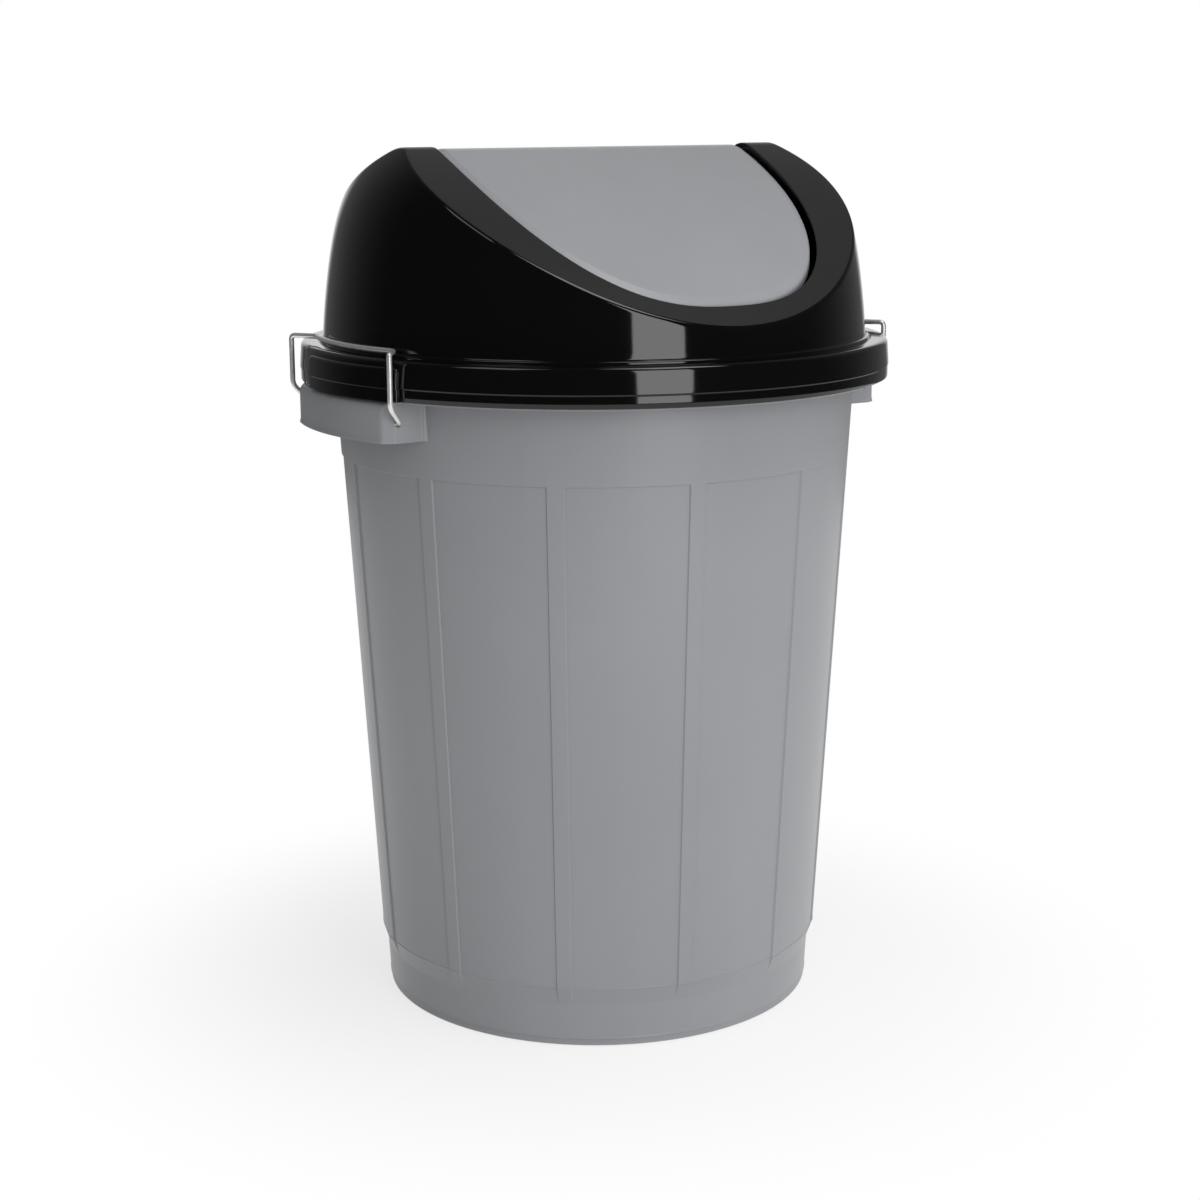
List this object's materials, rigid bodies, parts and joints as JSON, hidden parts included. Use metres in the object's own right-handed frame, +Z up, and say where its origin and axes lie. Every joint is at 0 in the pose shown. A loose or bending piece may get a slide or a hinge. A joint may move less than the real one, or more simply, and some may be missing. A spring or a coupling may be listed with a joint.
{
  "type": "swing-lid waste bin",
  "caption": "Round tapered plastic bin with moulded side handles, a domed hood held by spring-wire clamps, and an arched flap that swings about the hood's ridge.",
  "frame": {"origin": "middle of the bucket's foot, on the floor", "axes": "+Z up; +X and -X towards the handles and along the flap's axle; -Y towards the side the flap is pushed from"},
  "size_m": [0.4474, 0.4414, 0.6434],
  "materials": {
    "bucket_grey": "mid-grey moulded polypropylene, satin",
    "hood_black": "black moulded plastic, high gloss on dome and skirt, satin on the arched collar",
    "flap_grey": "light mid-grey moulded polypropylene, satin",
    "wire": "bright drawn spring-steel wire"
  },
  "bodies": {
    "bin": {"bucket": "bucket_grey", "hood": "hood_black"},
    "flap": {"flap": "flap_grey"},
    "clamp_left": {"clamp_left": "wire"},
    "clamp_right": {"clamp_right": "wire"}
  },
  "joints": [
    {"name": "flap_swing", "type": "hinge", "parent": "bin", "child": "flap", "pos_m": [0, 0, 0.6234], "axis": [1, 0, 0], "range_deg": [-70, 70]},
    {"name": "clamp_left_swing", "type": "hinge", "parent": "bin", "child": "clamp_left", "pos_m": [-0.201, 0, 0.459], "axis": [0, -1, 0], "range_deg": [0, 165]},
    {"name": "clamp_right_swing", "type": "hinge", "parent": "bin", "child": "clamp_right", "pos_m": [0.201, 0, 0.459], "axis": [0, 1, 0], "range_deg": [0, 165]}
  ]
}
